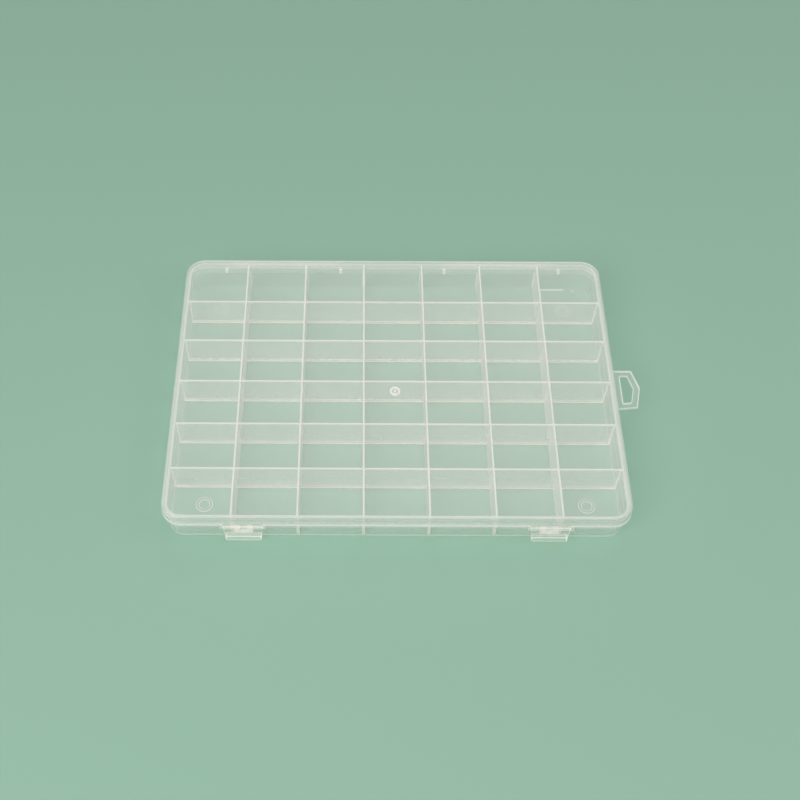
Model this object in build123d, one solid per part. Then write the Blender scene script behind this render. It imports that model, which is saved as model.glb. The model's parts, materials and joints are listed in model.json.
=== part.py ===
from build123d import *
import math
import os

# Flat compartment box with a hinged lid, in millimetres. The origin is the centre of the tray's underside,
# +X points to the hang tab, +Y to the hinge and +Z up.

# Grid of compartments
columns = 7
rows = 6
column_pitch = 39.0
row_pitch = 32.4
end_column = 38.0  # from the last column wall's middle to the tray's wall
end_row = 32.35
compartment_depth = 21.8
divider_top = 1.0
divider_foot = 1.5

# Tray
tray_corner = 10.0
tray_wall = 1.3
tray_floor = 1.2
draft_angle = 1.3  # degrees, the tray narrows downwards
foot_round = 0.4
floor_round = 1.0
flange_thickness = 1.3
flange_drop = 6.5  # rim of the tray down to the flange's upper face
ring_outer = 10.0
ring_inner = 6.5
ring_depth = 0.4
ring_inset_x = 20.2  # ring centre in from the rim
ring_inset_y = 21.6

# Lid
skirt_clearance = 0.8
skirt_wall = 1.3
lid_plate = 1.3
lid_headroom = 0.6  # air over the dividers
lid_edge_round = 2.0
seat_gap = 0.2  # skirt over the flange
bead_proud = 0.5
bead_height = 1.0
bead_round = 0.3
gate_ring_outer = 6.4
gate_ring_inner = 5.0
gate_pip = 1.4
gate_depth = 0.25
gate_offset_y = -8.5

# Back hinges: clips of the lid snapped over bars of the tray
hinge_inset = 65.1  # middle of each hinge in from the tray's end
hinge_length = 75.0
bar_radius = 1.2
clip_fit = 0.06
clip_wall = 1.1
clip_mouth_angle = 100.0  # degrees left open for snapping on
clip_facing_angle = 240.0
lug_width = 2.5
lug_wall = 0.7
lug_gap = 0.4  # along the bar, between lug and clip
hinge_clearance = 0.3

# Front latches: flaps that curl over thin rods under the lid's skirt
latch_inset = 46.2  # middle of each latch in from the tray's end
latch_top_length = 23.4
latch_foot_length = 21.5
latch_corner = 2.6
latch_wall = 1.2
latch_foot_z = 5.4
latch_proud = 1.8  # flap face in front of the skirt's face
lip_reach = 2.0
lip_height = 0.9
rod_radius = 0.6
curl_fit = 0.06
curl_wall = 0.9
curl_mouth_angle = 100.0
curl_facing_angle = 45.0
curl_gap = 0.2  # under the skirt
ear_width = 1.6
ear_wall = 0.6
ear_gap = 0.25
notch_clearance = 0.4

# Catches on the tray's front wall
catch_length = 11.0
catch_height = 1.0
catch_rib = 3.4
catch_rib_height = 5.0
catch_reach = 2.2
catch_bite = 0.7  # how far the hook reaches under the catch
catch_gap = 0.2
hook_height = 1.4

# Hang tab on the right side of the flange
tab_back = 13.8
tab_front = 16.2
tab_reach = 16.5
tab_nose_y = 0.2
tab_shoulder_back = 12.6
tab_shoulder_front = 13.3
tab_front_slope = 1.4
tab_rim = 4.2
slot_root = 4.7
tab_round_back = 1.0
tab_round_nose = 1.2
tab_round_front = 3.0

# Heights and outlines that follow from the above
rim_z = tray_floor + compartment_depth
flange_top = rim_z - flange_drop
flange_bottom = flange_top - flange_thickness
skirt_bottom = flange_top + seat_gap
plate_bottom = rim_z + lid_headroom
lid_top = plate_bottom + lid_plate
bead_top = skirt_bottom + bead_height
tray_length = (columns - 2) * column_pitch + 2 * (end_column + tray_wall)
tray_width = (rows - 2) * row_pitch + 2 * (end_row + tray_wall)
tray_x = tray_length / 2
tray_y = tray_width / 2
lid_inner_offset = skirt_clearance
lid_offset = skirt_clearance + skirt_wall
bead_offset = lid_offset + bead_proud
draft = math.tan(math.radians(draft_angle))
front_face = -(tray_y + lid_offset)
back_edge = tray_y + bead_offset

hinge_centre = tray_x - hinge_inset
clip_inner = bar_radius + clip_fit
clip_outer = clip_inner + clip_wall
bar_y = back_edge + hinge_clearance + clip_outer
bar_z = (flange_top + flange_bottom) / 2

latch_centre = tray_x - latch_inset
curl_inner = rod_radius + curl_fit
curl_outer = curl_inner + curl_wall
rod_y = front_face - latch_proud + curl_outer
rod_z = skirt_bottom - curl_gap - curl_outer
flap_face = front_face - latch_proud
flap_back = flap_face + latch_wall
hook_top = latch_foot_z + hook_height
catch_z = hook_top + catch_gap
catch_face = -(tray_y - draft * (rim_z - catch_z)) - catch_reach
notch_half = latch_top_length / 2 + ear_gap + ear_width + notch_clearance


def outline(grow):
    """Rounded outline of the box, grown from the tray's rim."""
    return RectangleRounded(tray_length + 2 * grow, tray_width + 2 * grow, tray_corner + grow)


def slab(face, bottom, top):
    return extrude(Pos(0, 0, bottom) * face, top - bottom)


def drafted(grow, bottom):
    """Rounded block from the rim down, whose sides lean in downwards."""
    return extrude(Pos(0, 0, rim_z) * outline(grow), bottom - rim_z, taper=draft_angle)


def profile_along_x(face, start, end):
    """Extrudes a sketch drawn as (y, z) from x = start to x = end."""
    placed = Plane.YZ.offset(start) * face
    return extrude(placed, end - start)


def ring_mark(outer, inner, z, depth):
    """Ring-shaped recess cut from z upwards, or downwards for a negative depth."""
    ring = Circle(outer / 2) - Circle(inner / 2)
    return extrude(Pos(0, 0, z) * ring, depth)


def sector(cy, cz, reach, middle, spread):
    """Pie slice used to open the mouth of a clip, in (y, z)."""
    angles = [math.radians(middle + spread * t) for t in (-0.5, 0.0, 0.5)]
    points = [(cy + reach * math.cos(a), cz + reach * math.sin(a)) for a in angles]
    return make_face(Polyline((cy, cz), *points, close=True))


cavity = drafted(-tray_wall, tray_floor)
cavity = fillet(cavity.edges().group_by(Axis.Z)[0], floor_round)


def tray_shell():
    body = drafted(0, 0)
    foot = body.edges().group_by(Axis.Z)[0]
    body = fillet(foot, foot_round) - cavity
    flange = slab(outline(bead_offset), flange_bottom, flange_top)
    flange -= drafted(-tray_wall / 2, flange_bottom - flange_thickness)
    reach = bead_offset
    for side in (-1, 1):
        notch = Box(2 * notch_half, 2 * reach, 2 * flange_thickness)
        flange -= Pos(side * latch_centre, -(tray_y + reach), bar_z) * notch
    body += flange
    for sx in (-1, 1):
        for sy in (-1, 1):
            x = sx * (tray_x - ring_inset_x)
            y = sy * (tray_y - ring_inset_y)
            body -= Pos(x, y) * ring_mark(ring_outer, ring_inner, 0, ring_depth)
    return body


def divider_profile():
    top, foot = divider_top / 2, divider_foot / 2
    return make_face(
        Polyline((-foot, tray_floor), (foot, tray_floor), (top, rim_z), (-top, rim_z), close=True)
    )


def row_positions():
    return [(i - (rows - 2) / 2) * row_pitch for i in range(rows - 1)]


def column_positions():
    return [(i - (columns - 2) / 2) * column_pitch for i in range(columns - 1)]


def row_wall(y):
    return Pos(0, y) * profile_along_x(divider_profile(), -tray_x, tray_x) & cavity


def column_wall(x):
    wall = extrude(Plane.XZ.offset(-tray_y) * divider_profile(), tray_width)
    return Pos(x) * wall & cavity


def hang_tab():
    root = tray_x + bead_offset
    nose = root + tab_reach
    plate = make_face(
        Polyline(
            (root, -tab_front),
            (root + tab_shoulder_front, -tab_front + tab_front_slope),
            (nose, tab_nose_y),
            (root + tab_shoulder_back, tab_back),
            (root, tab_back),
            close=True,
        )
    )
    front, back = plate.vertices().sort_by(Axis.X)[2:4].sort_by(Axis.Y)
    plate = fillet(front, tab_round_front)
    plate = fillet(plate.vertices().sort_by(Axis.X)[-1], tab_round_nose)
    plate = fillet(back, tab_round_back)
    slot = offset(plate, -tab_rim) & Pos(root + slot_root + tray_x, 0) * Rectangle(2 * tray_x, tray_width)
    return slab(plate - slot, flange_bottom, flange_top)


def catch(side):
    x = side * latch_centre
    inner = -(tray_y - tray_wall)
    ledge = Pos(x, (catch_face + inner) / 2, catch_z + catch_height / 2) * Box(
        catch_length, inner - catch_face, catch_height
    )
    rib = make_face(
        Polyline(
            (inner, catch_z),
            (catch_face, catch_z),
            (catch_face, catch_z + catch_height),
            (-tray_y, catch_z + catch_height + catch_rib_height),
            (inner, catch_z + catch_height + catch_rib_height),
            close=True,
        )
    )
    body = ledge
    for end in (-1, 1):
        middle = x + end * (catch_length - catch_rib) / 2
        body += profile_along_x(rib, middle - catch_rib / 2, middle + catch_rib / 2)
    return body - drafted(0, 0)


def hinge_bar(side):
    start = side * hinge_centre - hinge_length / 2
    lug_face = Pos(bar_y, bar_z) * Circle(bar_radius + lug_wall)
    lug_face += make_face(
        Polyline(
            (back_edge, flange_bottom), (bar_y, bar_z - bar_radius - lug_wall),
            (bar_y, bar_z + bar_radius), (back_edge, flange_top), close=True
        )
    )
    body = profile_along_x(Pos(bar_y, bar_z) * Circle(bar_radius), start, start + hinge_length)
    for t in (0, 0.5, 1):
        x = start + t * (hinge_length - lug_width)
        body += profile_along_x(lug_face, x, x + lug_width)
    return body


def hinge_clips(side):
    start = side * hinge_centre - hinge_length / 2
    skirt_back = tray_y + lid_offset
    arm_bottom = bar_z + clip_inner
    face = Pos(bar_y, bar_z) * Circle(clip_outer)
    face += make_face(
        Polyline(
            (skirt_back, arm_bottom), (bar_y, arm_bottom), (bar_y, bar_z + clip_outer),
            (skirt_back, bar_z + clip_outer), close=True
        )
    )
    face -= Pos(bar_y, bar_z) * Circle(clip_inner)
    face -= sector(bar_y, bar_z, 2 * clip_outer, clip_facing_angle, clip_mouth_angle)
    bay = (hinge_length - 3 * lug_width) / 2
    clips = []
    for t in (0, 1):
        x = start + lug_width + lug_gap + t * (bay + lug_width)
        clips.append(profile_along_x(face, x, x + bay - 2 * lug_gap))
    return Compound(clips)


def lid_shell():
    plate = slab(outline(lid_offset), skirt_bottom, lid_top)
    plate = fillet(plate.edges().group_by(Axis.Z)[-1], lid_edge_round)
    bead = slab(outline(bead_offset), skirt_bottom, bead_top)
    bead = fillet(bead.edges().group_by(Axis.Z)[-1], bead_round)
    band = (skirt_bottom + bead_top) / 2
    for side in (-1, 1):
        bead -= Pos(side * hinge_centre, tray_y + tray_width / 2, band) * Box(
            hinge_length, tray_width, 2 * bead_height
        )
        bead -= Pos(side * latch_centre, -tray_y - tray_width / 2, band) * Box(
            latch_top_length + 2 * ear_gap, tray_width, 2 * bead_height
        )
    body = plate + bead - slab(outline(lid_inner_offset), 0, plate_bottom)
    mark = ring_mark(gate_ring_outer, gate_ring_inner, lid_top, -gate_depth)
    mark += ring_mark(gate_pip, gate_pip / 2, lid_top, -gate_depth)
    return body - Pos(0, gate_offset_y) * mark


def latch_rod(side):
    x = side * latch_centre
    half = latch_top_length / 2 + ear_gap
    ear = Pos(rod_y, rod_z) * Circle(rod_radius + ear_wall)
    ear += make_face(
        Polyline(
            (front_face - bead_proud, skirt_bottom),
            (rod_y - rod_radius - ear_wall, rod_z),
            (rod_y + rod_radius + ear_wall, rod_z),
            (-(tray_y + skirt_clearance), skirt_bottom),
            close=True,
        )
    )
    body = profile_along_x(Pos(rod_y, rod_z) * Circle(rod_radius), x - half, x + half)
    body += profile_along_x(ear, x - half - ear_width, x - half)
    body += profile_along_x(ear, x + half, x + half + ear_width)
    return body


def latch(side):
    x = side * latch_centre
    lip_face = flap_face - lip_reach
    side_view = Pos(rod_y, rod_z) * Circle(curl_outer)
    side_view += make_face(
        Polyline(
            (flap_face, rod_z),
            (flap_face, latch_foot_z + lip_reach),
            (lip_face, latch_foot_z + lip_height),
            (lip_face, latch_foot_z),
            (flap_back, latch_foot_z),
            (catch_face + catch_bite, latch_foot_z + hook_height / 2),
            (catch_face + catch_bite, hook_top),
            (flap_back, hook_top),
            (flap_back, rod_z),
            close=True,
        )
    )
    side_view -= Pos(rod_y, rod_z) * Circle(curl_inner)
    side_view -= sector(rod_y, rod_z, 2 * curl_outer, curl_facing_angle, curl_mouth_angle)
    body = profile_along_x(side_view, x - latch_top_length / 2, x + latch_top_length / 2)
    top, foot = latch_top_length / 2, latch_foot_length / 2
    front_view = make_face(
        Polyline(
            (x - foot, latch_foot_z), (x + foot, latch_foot_z),
            (x + top, rod_z + curl_outer), (x - top, rod_z + curl_outer), close=True
        )
    )
    low = front_view.vertices().sort_by(Axis.Y)[:2]
    front_view = fillet(low, latch_corner)
    trim = extrude(Plane.XZ.offset(tray_y / 2) * front_view, tray_width)
    return body & trim


def write(name, body):
    export_step(body, os.path.join("parts", name + ".step"))


os.makedirs("parts", exist_ok=True)
row_walls = [row_wall(y) for y in row_positions()]
write("tray_shell", tray_shell())
for number, wall in enumerate(row_walls, 1):
    write(f"row_wall_{number}", wall)
for number, x in enumerate(column_positions(), 1):
    write(f"column_wall_{number}", column_wall(x) - row_walls)
write("hang_tab", hang_tab())
write("lid_shell", lid_shell())
for name, side in (("left", -1), ("right", 1)):
    write(f"catch_{name}", catch(side))
    write(f"hinge_bar_{name}", hinge_bar(side))
    write(f"hinge_clips_{name}", hinge_clips(side))
    write(f"latch_rod_{name}", latch_rod(side))
    write(f"latch_{name}", latch(side))
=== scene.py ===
import json
import math

import bmesh
import bpy
from mathutils import Matrix, Vector


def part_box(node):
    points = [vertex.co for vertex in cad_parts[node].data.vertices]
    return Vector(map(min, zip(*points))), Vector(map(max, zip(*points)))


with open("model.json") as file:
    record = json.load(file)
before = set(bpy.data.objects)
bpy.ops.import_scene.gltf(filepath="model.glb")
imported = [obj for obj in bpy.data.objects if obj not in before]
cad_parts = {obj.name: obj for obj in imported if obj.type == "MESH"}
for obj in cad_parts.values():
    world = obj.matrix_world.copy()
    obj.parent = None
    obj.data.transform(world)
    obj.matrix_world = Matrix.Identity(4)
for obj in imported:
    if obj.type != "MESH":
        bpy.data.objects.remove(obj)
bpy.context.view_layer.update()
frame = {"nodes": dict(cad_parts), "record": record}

nodes = frame["nodes"]
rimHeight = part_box("tray_shell")[1].z
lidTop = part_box("lid_shell")[1].z
trayRim = (0.1368, 0.09845)  # half of the tray's outline at its rim
lidRim = (0.1389, 0.10055)  # half of the lid's outline, over the skirt
print("frame loaded:", len(nodes), "nodes")


class Wire:
    # an output socket that can be used in plain arithmetic
    def __init__(self, tree, socket):
        self.tree = tree
        self.socket = socket

    def maths(self, operation, a, b):
        made = self.tree.nodes.new("ShaderNodeMath")
        made.operation = operation
        for slot, value in zip(made.inputs, (a, b)):
            if isinstance(value, Wire):
                self.tree.links.new(value.socket, slot)
            else:
                slot.default_value = value
        return Wire(self.tree, made.outputs[0])

    def __add__(self, other):
        return self.maths("ADD", self, other)

    __radd__ = __add__

    def __sub__(self, other):
        return self.maths("SUBTRACT", self, other)

    def __rsub__(self, other):
        return self.maths("SUBTRACT", other, self)

    def __mul__(self, other):
        return self.maths("MULTIPLY", self, other)

    __rmul__ = __mul__

    def __rtruediv__(self, other):
        return self.maths("DIVIDE", other, self)

    def __pow__(self, other):
        return self.maths("POWER", self, other)

    def wrap(self, other):
        return self.maths("FLOORED_MODULO", self, other)

    def size(self):
        return self.maths("ABSOLUTE", self, 0.0)

    def atLeast(self, other):
        return self.maths("MAXIMUM", self, other)

    def atMost(self, other):
        return self.maths("MINIMUM", self, other)


class Finish:
    # one procedural material, built node by node
    def __init__(self, name):
        self.material = bpy.data.materials.new(name)
        self.material.use_nodes = True
        self.tree = self.material.node_tree
        self.tree.nodes.clear()

    def node(self, kind, settings=None, sockets=None, out=0):
        made = self.tree.nodes.new("ShaderNode" + kind)
        for key, value in (settings or {}).items():
            setattr(made, key, value)
        for key, value in (sockets or {}).items():
            if isinstance(value, Wire):
                self.tree.links.new(value.socket, made.inputs[key])
            else:
                made.inputs[key].default_value = value
        return Wire(self.tree, made.outputs[out]) if made.outputs else None

    def place(self):
        return self.node("TexCoord", out="Object")

    def axes(self, vector, letters="XYZ"):
        return [self.node("SeparateXYZ", sockets={0: vector}, out=letter) for letter in letters]

    def turned(self, letters):
        # how squarely a face looks along each axis, either way
        normal = self.node("NewGeometry", out="Normal")
        return [part.size() for part in self.axes(normal, letters)]

    def rise(self, value, low, high):
        # 0 below low, 1 above high, soft between
        return self.node(
            "MapRange",
            {"interpolation_type": "SMOOTHSTEP"},
            {"Value": value, "From Min": low, "From Max": high},
        )

    def fall(self, value, low, high):
        return 1.0 - self.rise(value, low, high)

    def between(self, value, start, end):
        # rises over the first pair of numbers and falls over the second
        return self.rise(value, *start) * self.fall(value, *end)

    def noise(self, vector, scale, detail=2.0):
        return self.node("TexNoise", sockets={"Vector": vector, "Scale": scale, "Detail": detail})

    def finish(self, shader):
        self.node("OutputMaterial", sockets={"Surface": shader})
        return self.material


def reachFrom(across, along, spot):
    # distance from a spot, seen from above
    return ((across - spot[0]) ** 2 + (along - spot[1]) ** 2) ** 0.5


def outlineGap(across, along, half, corner):
    # distance to a rounded outline round the origin, less than 0 inside it
    side = across.size() - (half[0] - corner)
    end = along.size() - (half[1] - corner)
    outside = (side.atLeast(0.0) ** 2 + end.atLeast(0.0) ** 2) ** 0.5
    return outside + side.atLeast(end).atMost(0.0) - corner


plastic = {
    "tint": (0.985, 0.955, 0.93, 1.0),
    # colour of the edge lines, partly a painted highlight of light gathered in the edges
    "edgeHighlightTint": (1.0, 0.925, 0.86, 1.0),
    "through": 0.25,  # share of the light that comes through from behind
    "lampPass": 0.6,  # how much more light passes than a view does
    "leastVeil": 0.01,
    "slant": 0.13,  # a face seen this nearly edge-on is as milky as it gets
    "roughness": 0.32,
    "roughnessChange": 0.2,
    "gloss": 0.45,
    "refraction": 1.49,
    "cloudScale": 38.0,
    "cloudAmount": 0.03,
    "streakScale": 420.0,
    "streakDetail": 3.0,
    "streakStretch": (1.0, 0.12, 1.0),
    "streakAmount": 0.03,
    "grainScale": 2600.0,
    "grainStrength": 0.06,
    "grainHeight": 0.00002,
    "waveScale": 60.0,
    "waveStrength": 0.3,
    "waveHeight": 0.00004,
    "thinLine": (0.0002, 0.0005),  # full to the first distance, and ended at the second
    "softEdge": (0.0, 0.0003),
}


def frosted(name, veil, lines):
    # veil gives how much one face hides of what lies behind it, lines how much its edges hide and
    # how far they turn to the warm edge colour, partly a painted highlight of light gathered in the
    # edges
    made = Finish(name)
    place = made.place()
    cloud = made.noise(place, plastic["cloudScale"]) - 0.5
    drawn = made.node("Mapping", sockets={"Vector": place, "Scale": plastic["streakStretch"]})
    streak = made.noise(drawn, plastic["streakScale"], plastic["streakDetail"]) - 0.5
    line = lines(made, place)
    haze = veil(made, place) + cloud * plastic["cloudAmount"] + streak * plastic["streakAmount"]
    slant = (1.0 - made.node("LayerWeight", out="Facing")).atLeast(plastic["slant"])
    haze = 1.0 - (1.0 - haze.atLeast(plastic["leastVeil"])) ** (1.0 / slant)
    cover = haze * (1.0 - line) + line
    # painted highlight: the lines brighten the colour towards a warm white
    colour = made.node(
        "Mix",
        {"data_type": "RGBA"},
        {0: line, 6: plastic["tint"], 7: plastic["edgeHighlightTint"]},
        out=2,
    )
    grain = made.node(
        "Bump",
        sockets={
            "Height": made.noise(place, plastic["grainScale"]),
            "Strength": plastic["grainStrength"],
            "Distance": plastic["grainHeight"],
        },
    )
    front = made.node(
        "BsdfPrincipled",
        sockets={
            "Base Color": colour,
            "Roughness": plastic["roughness"] + cloud * plastic["roughnessChange"],
            "Normal": grain,
            "IOR": plastic["refraction"],
        },
    )
    behind = made.node("BsdfTranslucent", sockets={"Color": plastic["tint"]})
    milk = made.node("MixShader", sockets={0: plastic["through"], 1: front, 2: behind})
    clear = made.node("BsdfTransparent")
    body = made.node("MixShader", sockets={0: cover, 1: clear, 2: milk})
    wave = made.node(
        "Bump",
        sockets={
            "Height": made.noise(place, plastic["waveScale"]),
            "Strength": plastic["waveStrength"],
            "Distance": plastic["waveHeight"],
        },
    )
    sheen = made.node("BsdfGlossy", sockets={"Roughness": plastic["gloss"], "Normal": wave})
    outward = 1.0 - made.node("NewGeometry", out="Backfacing")
    mirror = made.node("Fresnel", sockets={"IOR": plastic["refraction"]}) * outward
    surface = made.node("MixShader", sockets={0: mirror, 1: body, 2: sheen})
    lampRay = made.node("LightPath", out="Is Shadow Ray") * plastic["lampPass"]
    return made.finish(made.node("MixShader", sockets={0: lampRay, 1: surface, 2: clear}))


def even(amount):
    return lambda made, place: amount


# lengths are in metres, and a depth counts outwards from the outline of the tray or the lid
paintedGlint = {
    "line": (0.1100, 0.0944),  # painted glint: a short bright line painted in the floor beside the back wall, a reflection of the light in the floor's rounding
    "lineHalf": (0.0108, 0.0005),
    "lineEnd": (-0.0040, 0.0),
    "glintDot": (0.1246, 0.0934),
    "glintDotRadius": 0.0005,
    "low": (0.0010, 0.0011),
    "high": (0.0016, 0.0018),
    "strength": 0.7,
}


def paintedGlintMarks(made, place):
    # painted highlight: a short bright line and a dot on the floor by the back wall, where the
    # light glints in the rounding at the wall's foot
    across, along, height = made.axes(place)
    past = (across - paintedGlint["line"][0]).size() - paintedGlint["lineHalf"][0]
    beside = (along - paintedGlint["line"][1]).size() - paintedGlint["lineHalf"][1]
    line = made.fall(beside, *plastic["softEdge"]) * made.fall(past, *paintedGlint["lineEnd"])
    glintDot = made.fall(reachFrom(across, along, paintedGlint["glintDot"]) - paintedGlint["glintDotRadius"], *plastic["softEdge"])
    floorTop = made.between(height, paintedGlint["low"], paintedGlint["high"])
    return line.atLeast(glintDot) * floorTop * paintedGlint["strength"]


dividers = {
    "pitch": (0.039, 0.0324),
    "half": (0.00085, 0.00060),  # half a divider's thickness at its foot and at its top
    "reach": (-0.0200, -0.0190),  # no divider stands nearer to a corner
    "depth": (-0.0021, -0.0018),
    "low": (0.0011, 0.0013),
    "high": (-0.0082, -0.0078),  # height over the rim
    "strength": 0.8,
}


def dividerEnds(made, place, gap):
    # a divider's end shows through the wall that it joins, wider at its foot
    across, along, height = made.axes(place)
    foot, top = dividers["half"]
    thick = foot - height * ((foot - top) / rimHeight)
    pitchX, pitchY = dividers["pitch"]
    column = (across.wrap(pitchX) - pitchX / 2).size() - thick
    row = ((along + pitchY / 2).wrap(pitchY) - pitchY / 2).size() - thick
    onLong = made.fall(across.size() - trayRim[0], *dividers["reach"])
    onLong = onLong * made.fall(column, *plastic["softEdge"])
    onEnd = made.fall(along.size() - trayRim[1], *dividers["reach"])
    onEnd = onEnd * made.fall(row, *plastic["softEdge"])
    wall = made.rise(gap, *dividers["depth"]) * made.rise(height, *dividers["low"])
    below = made.fall(height - rimHeight, *dividers["high"])
    return onLong.atLeast(onEnd) * wall * below * dividers["strength"]


hingeMarks = {
    "middle": 0.0742,
    "half": 0.0389,
    "width": (0.0008, 0.0012),
    "depth": (-0.0025, -0.0020),
    "low": (0.0142, 0.0146),
    "high": (0.0168, 0.0172),
    "strength": 0.8,
}


def hingeEnds(made, place):
    # the ends of the two hinges show as short upright marks, drawn bright on the tray, partly the
    # hinge end seen through the wall and partly a painted highlight
    across, along, height = made.axes(place)
    end = ((across.size() - hingeMarks["middle"]).size() - hingeMarks["half"]).size()
    mark = made.fall(end, *hingeMarks["width"])
    mark = mark * made.rise(along - trayRim[1], *hingeMarks["depth"])
    mark = mark * made.between(height, hingeMarks["low"], hingeMarks["high"])
    return mark * hingeMarks["strength"]


rings = {
    "inset": (0.0202, 0.0216),
    "radii": (0.0050, 0.00325),
    "height": (0.0006, 0.0008),
    "strength": 0.6,
}


def ringMarks(made, place):
    across, along, height = made.axes(place)
    middle = [half - inset for half, inset in zip(trayRim, rings["inset"])]
    reach = reachFrom(across.size(), along.size(), middle)
    marks = [made.fall((reach - radius).size(), *plastic["thinLine"]) for radius in rings["radii"]]
    return marks[0].atLeast(marks[1]) * made.fall(height, *rings["height"]) * rings["strength"]


tray = {
    "veil": 0.045,
    "corner": 0.010,
    "lineStrength": 0.4,
    "rimLine": (-0.0010, -0.0005),  # height over the rim
    "baseLine": (0.0010, 0.0015),
    "baseDepth": (-0.0020, -0.0012),
    "baseBehind": 0.15,  # share of the base line's painted highlight that is left behind baseTurn; the line is painted brightest at the front, where its rounding bends light towards the view
    "baseTurn": (0.02, 0.08),
    # painted shade: the rim and flange lines are dimmed along the back, which gets less light from
    # the front
    "paintedBackShade": 0.3,
    "backDepth": (-0.0040, -0.0030),
    "flangeStrength": 0.05,
    "flangeDepth": (0.0001, 0.0004),
    "flangeEdge": 0.1,
    "flangeEdgeDepth": (0.0018, 0.0022),
    "flangeRoot": 0.0152,
    "rootStrength": 0.3,
    "rootDepth": (0.0002, 0.0004),
}


def trayLines(made, place):
    # bright lines at the rim, the foot and the flange, partly the thicker view along an edge and
    # partly painted highlight
    across, along, height = made.axes(place)
    gap = outlineGap(across, along, trayRim, tray["corner"])
    rim = made.rise(height - rimHeight, *tray["rimLine"])
    base = made.fall(height, *tray["baseLine"]) * made.rise(gap, *tray["baseDepth"])
    # painted highlight and shade: the foot line brightest at the front, the rim lines dimmer at the
    # back
    front = made.fall(along, *tray["baseTurn"])
    front = tray["baseBehind"] + (1.0 - tray["baseBehind"]) * front
    back = 1.0 - tray["paintedBackShade"] * made.rise(along - trayRim[1], *tray["backDepth"])
    flange = made.rise(gap, *tray["flangeDepth"]) * tray["flangeStrength"]
    flangeEdge = made.rise(gap, *tray["flangeEdgeDepth"]) * tray["flangeEdge"]
    root = made.fall((height - tray["flangeRoot"]).size(), *plastic["thinLine"])
    root = root * made.fall(gap, *tray["rootDepth"]) * tray["rootStrength"]
    line = (rim * back).atLeast(base * front) * tray["lineStrength"]
    line = line.atLeast(flange.atLeast(flangeEdge) * back).atLeast(root)
    line = line.atLeast(hingeEnds(made, place)).atLeast(ringMarks(made, place))
    return line.atLeast(dividerEnds(made, place, gap)).atLeast(paintedGlintMarks(made, place))


grid = {
    "veil": 0.09,
    "columnVeil": 0.08,  # added for the column walls
    "columnTurn": (0.5, 0.8),
    "thickerFoot": 0.05,  # the walls widen downwards, so they hide more there
    "floorTop": 0.0012,
    "topLine": (-0.0010, -0.0005),  # height over the rim
    "topStrength": 0.66,
    "footLine": (0.0009, 0.00126),  # height over the floor
    "footStrength": 0.95,
    "endInset": 0.0018,
    "endCorner": 0.0082,
    "endDepth": (-0.0012, -0.0006),
    "endStrength": 0.35,
}


def gridVeil(made, place):
    [height] = made.axes(place, "Z")
    [sideways] = made.turned("X")
    column = grid["columnVeil"] * made.rise(sideways, *grid["columnTurn"])
    foot = grid["thickerFoot"] * made.fall(height, grid["floorTop"], rimHeight)
    return grid["veil"] + column + foot


def gridLines(made, place):
    # bright lines at the walls' tops and feet and at their ends, partly the thicker view along an
    # edge and partly painted highlight
    across, along, height = made.axes(place)
    top = made.rise(height - rimHeight, *grid["topLine"]) * grid["topStrength"]
    foot = made.fall(height - grid["floorTop"], *grid["footLine"]) * grid["footStrength"]
    inner = [half - grid["endInset"] for half in trayRim]
    ends = made.rise(outlineGap(across, along, inner, grid["endCorner"]), *grid["endDepth"])
    return top.atLeast(foot).atLeast(ends * grid["endStrength"])


lid = {
    "veil": 0.1,
    "corner": 0.0121,
    "edgeHeight": (-0.0009, -0.0005),  # height over the lid's top
    "edgeStart": (-0.0026, -0.0021),
    "edgeEnd": (-0.0018, -0.0006),
    "edgeLine": 0.2,
    "edgeFade": 0.17,
    "cornerDepth": (-0.0009, -0.0006),
    "cornerLow": (0.0221, 0.0224),  # where the rounded edge runs into the skirt
    "cornerHigh": (0.0236, 0.0239),
    "cornerStrength": 1.0,
    "cornerFront": 0.26,  # share of it that is left at the front
    "frontDepth": (0.0005, 0.0020),  # back from the front edge
    "beadVeil": 0.05,
    "beadDepth": (0.0001, 0.0003),
    "beadMiddle": 0.0179,
    "beadHalf": (0.0006, 0.0011),
    "beadStrength": 0.42,
    # painted shade: the bead line is dimmed along the back, which gets less light from the front
    "paintedBackShade": 0.5,
    "backDepth": (-0.0030, -0.0020),
    "gatePlace": (0.0, -0.0085),
    "gateRadii": (0.0029, 0.0025, 0.0005),
    "gateStrength": 0.7,
}


def lidVeil(made, place):
    # the bead stands proud of the skirt and is the clearest part of the lid
    across, along = made.axes(place, "XY")
    proud = made.rise(outlineGap(across, along, lidRim, lid["corner"]), *lid["beadDepth"])
    return lid["veil"] - (lid["veil"] - lid["beadVeil"]) * proud


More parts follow.
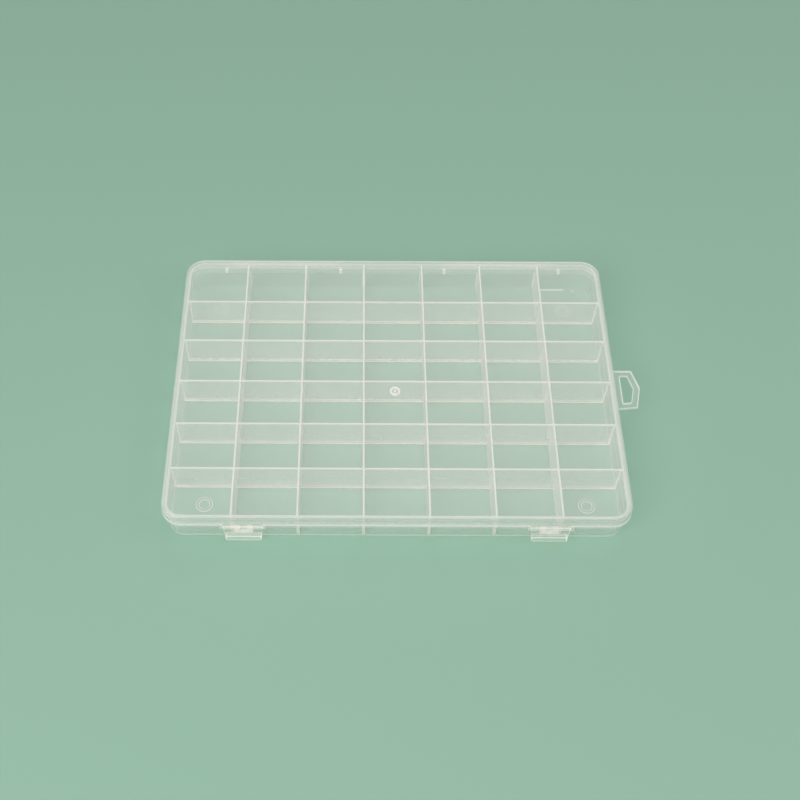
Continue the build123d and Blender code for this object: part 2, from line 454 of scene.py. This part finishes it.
def lidLines(made, place):
    # the rounded top edge, the corner into the skirt and the bead are drawn as bright lines, partly
    # the thicker view along an edge and partly painted highlight; the gate rings are the gate's own
    # mark
    across, along, height = made.axes(place)
    gap = outlineGap(across, along, lidRim, lid["corner"])
    turn = made.rise(gap, *lid["edgeStart"])
    peak = turn * made.fall(gap, *lid["edgeEnd"])
    line = (turn * lid["edgeFade"]).atLeast(peak * lid["edgeLine"])
    line = line * made.rise(height - lidTop, *lid["edgeHeight"])
    corner = made.rise(gap, *lid["cornerDepth"])
    corner = corner * made.between(height, lid["cornerLow"], lid["cornerHigh"])
    front = made.rise(along + lidRim[1], *lid["frontDepth"])
    front = lid["cornerFront"] + (1.0 - lid["cornerFront"]) * front
    line = line.atLeast(corner * front * lid["cornerStrength"])
    bead = made.fall((height - lid["beadMiddle"]).size(), *lid["beadHalf"])
    back = 1.0 - lid["paintedBackShade"] * made.rise(along - lidRim[1], *lid["backDepth"])
    line = line.atLeast(bead * back * lid["beadStrength"])
    reach = reachFrom(across, along, lid["gatePlace"])
    for radius in lid["gateRadii"]:
        ring = made.fall((reach - radius).size(), *plastic["thinLine"])
        line = line.atLeast(ring * lid["gateStrength"])
    return line


fittings = {
    "bevelSamples": 8,
    "cornerTurn": (0.01, 0.12),
    "upright": (0.3, 0.6),
    # start of the pieces' names: finish, veil, strength of the lines and their width at a corner
    "pieces": {
        "hang_tab": ("tabPlastic", 0.07, 0.9, 0.0014),
        "catch": ("catchPlastic", 0.6, 0.9, 0.0008),
        "hinge": ("hingePlastic", 0.03, 0.15, 0.0008),
        "latch_rod": ("rodPlastic", 0.15, 0.25, 0.0008),
    },
}


def cornerLine(made, width):
    # a narrow line along every sharp corner, partly the thicker view along the edge and partly
    # painted highlight
    rounded = made.node("Bevel", {"samples": fittings["bevelSamples"]}, {"Radius": width})
    flat = made.node("NewGeometry", out="Normal")
    same = made.node("VectorMath", {"operation": "DOT_PRODUCT"}, {0: rounded, 1: flat}, out="Value")
    return made.rise(1.0 - same, *fittings["cornerTurn"])


def sideLines(strength, width):
    # narrow upright faces catch the light that runs along inside a thin plate
    def lines(made, place):
        [upward] = made.turned("Z")
        side = made.fall(upward, *fittings["upright"])
        return side.atLeast(cornerLine(made, width)) * strength

    return lines


latch = {
    "veil": 0.07,
    "strength": 0.9,
    "sideTurn": (0.5, 0.8),
    "footTurn": (0.7, 0.9),
    "lipTop": (0.0062, 0.0065),
    "lipLow": (0.0069, 0.0072),
    "lipHigh": (0.0076, 0.0079),
    "lipShare": 0.7,
    "corner": 0.0008,
    "cornerShare": 0.8,
}


def latchLines(made, place):
    # the latch's sides, foot, lip and corners are drawn as bright lines, partly the thicker view
    # along an edge and partly painted highlight
    [height] = made.axes(place, "Z")
    sideways, forward = made.turned("XY")
    side = made.rise(sideways, *latch["sideTurn"])
    foot = made.rise(forward, *latch["footTurn"]) * made.fall(height, *latch["lipTop"])
    lip = made.between(height, latch["lipLow"], latch["lipHigh"]) * latch["lipShare"]
    corner = cornerLine(made, latch["corner"]) * latch["cornerShare"]
    return side.atLeast(foot).atLeast(lip).atLeast(corner) * latch["strength"]


finishes = {
    "tray_plastic": frosted("trayPlastic", even(tray["veil"]), trayLines),
    "grid_plastic": frosted("gridPlastic", gridVeil, gridLines),
    "lid_plastic": frosted("lidPlastic", lidVeil, lidLines),
    "latch_plastic": frosted("latchPlastic", even(latch["veil"]), latchLines),
}
small = {
    start: frosted(name, even(veil), sideLines(strength, width))
    for start, (name, veil, strength, width) in fittings["pieces"].items()
}
for part in frame["record"]["subparts"]:
    finish = finishes[part["material_slot"]]
    for start, own in small.items():
        if part["node"].startswith(start):
            finish = own
    for slot in nodes[part["node"]].material_slots:
        slot.material = finish
print("plastic finishes set")


studio = {
    "floorColour": (0.31, 0.49, 0.385, 1.0),
    "floorRoughness": 0.9,
    "floorShine": 0.1,
    "floorHeight": -0.0002,
    "farGlow": 0.92,  # brightness of the far floor and wall, which the lamps don't reach
    "glowFrom": (0.62, 1.2),
    "floorRadius": 2.4,
    "bend": 0.9,  # radius of the bend between floor and wall
    "bendSteps": 12,
    "roundSteps": 96,
    "wallHeight": 2.2,
    "skyColour": (1.0, 1.0, 1.0, 1.0),
    "skyStrength": 0.38,
    "lamps": {  # place, size and power
        "keyLamp": ((-0.9, -1.1, 1.3), 1.4, 24.0),
        "fillLamp": ((1.1, -0.3, 1.0), 1.0, 6.0),
        "backLamp": ((0.05, 1.5, 1.6), 1.5, 6.0),
    },
}


def floorFinish():
    colour = studio["floorColour"]
    made = Finish("studioFloor")
    matt = made.node(
        "BsdfPrincipled",
        sockets={
            "Base Color": colour,
            "Roughness": studio["floorRoughness"],
            "Specular IOR Level": studio["floorShine"],
        },
    )
    glow = made.node("Emission", sockets={"Color": colour, "Strength": studio["farGlow"]})
    away = made.node("VectorMath", {"operation": "LENGTH"}, {0: made.place()}, out="Value")
    rays = ("Camera", "Glossy", "Transmission")
    seen, glossy, through = (made.node("LightPath", out="Is " + ray + " Ray") for ray in rays)
    far = made.rise(away, *studio["glowFrom"]) * seen.atLeast(glossy).atLeast(through)
    return made.finish(made.node("MixShader", sockets={0: far, 1: matt, 2: glow}))


def floorAndWall():
    # a flat disc that turns up into a round wall, all in one sweep
    radius, bend, ground = (studio[key] for key in ("floorRadius", "bend", "floorHeight"))
    profile = [(0.0, ground), (radius, ground)]
    for i in range(1, studio["bendSteps"] + 1):
        turn = math.radians(90 * i / studio["bendSteps"])
        profile.append((radius + bend * math.sin(turn), ground + bend * (1 - math.cos(turn))))
    profile.append((radius + bend, studio["wallHeight"]))
    work = bmesh.new()
    line = [work.verts.new((r, 0, z)) for r, z in profile]
    edges = [work.edges.new(pair) for pair in zip(line, line[1:])]
    bmesh.ops.spin(
        work,
        geom=line + edges,
        cent=(0, 0, 0),
        axis=(0, 0, 1),
        angle=math.tau,
        steps=studio["roundSteps"],
        use_merge=True,
    )
    bmesh.ops.remove_doubles(work, verts=work.verts, dist=1e-5)
    bmesh.ops.recalc_face_normals(work, faces=work.faces)
    mesh = bpy.data.meshes.new("studioFloor")
    work.to_mesh(mesh)
    work.free()
    for face in mesh.polygons:
        face.use_smooth = True
    mesh.materials.append(floorFinish())
    floor = bpy.data.objects.new("studioFloor", mesh)
    bpy.context.scene.collection.objects.link(floor)


def softLamp(name, place, size, power):
    data = bpy.data.lights.new(name, "AREA")
    data.shape = "DISK"
    data.size = size
    data.energy = power
    lamp = bpy.data.objects.new(name, data)
    lamp.location = place
    aim = -Vector(place)  # to the origin
    lamp.rotation_euler = aim.to_track_quat("-Z", "Y").to_euler()
    bpy.context.scene.collection.objects.link(lamp)


def sky():
    world = bpy.data.worlds.new("studioSky")
    bpy.context.scene.world = world
    world.use_nodes = True
    background = world.node_tree.nodes["Background"]
    background.inputs["Color"].default_value = studio["skyColour"]
    background.inputs["Strength"].default_value = studio["skyStrength"]


floorAndWall()
for name, (place, size, power) in studio["lamps"].items():
    softLamp(name, place, size, power)
sky()
print("studio lit")


view = {
    "place": (-0.02332, -0.44738, 0.63842),
    "elevation": 54.88,  # degrees that the camera looks down
    "yaw": -0.28,
    "roll": -0.02,
    "lens": 54.23,
    "sensor": 36.0,
    "shiftX": 0.05715,
    "clearPasses": 64,  # a low view passes through many clear walls
}


def studioCamera():
    e, a, r = (math.radians(view[key]) for key in ("elevation", "yaw", "roll"))
    forward = Vector((math.sin(a) * math.cos(e), math.cos(a) * math.cos(e), -math.sin(e)))
    right = Vector((math.cos(a), -math.sin(a), 0.0))
    down = forward.cross(right)
    across = math.cos(r) * right + math.sin(r) * down
    below = math.cos(r) * down - math.sin(r) * right
    data = bpy.data.cameras.new("studioCamera")
    data.sensor_width = view["sensor"]
    data.lens = view["lens"]
    data.shift_x = view["shiftX"]
    camera = bpy.data.objects.new("studioCamera", data)
    turn = Matrix((across, -below, -forward)).transposed().to_4x4()
    camera.matrix_world = Matrix.Translation(view["place"]) @ turn
    bpy.context.scene.collection.objects.link(camera)
    bpy.context.scene.camera = camera


studioCamera()
bpy.context.scene.view_settings.view_transform = "Standard"
bpy.context.scene.cycles.transparent_max_bounces = view["clearPasses"]
print("camera set")
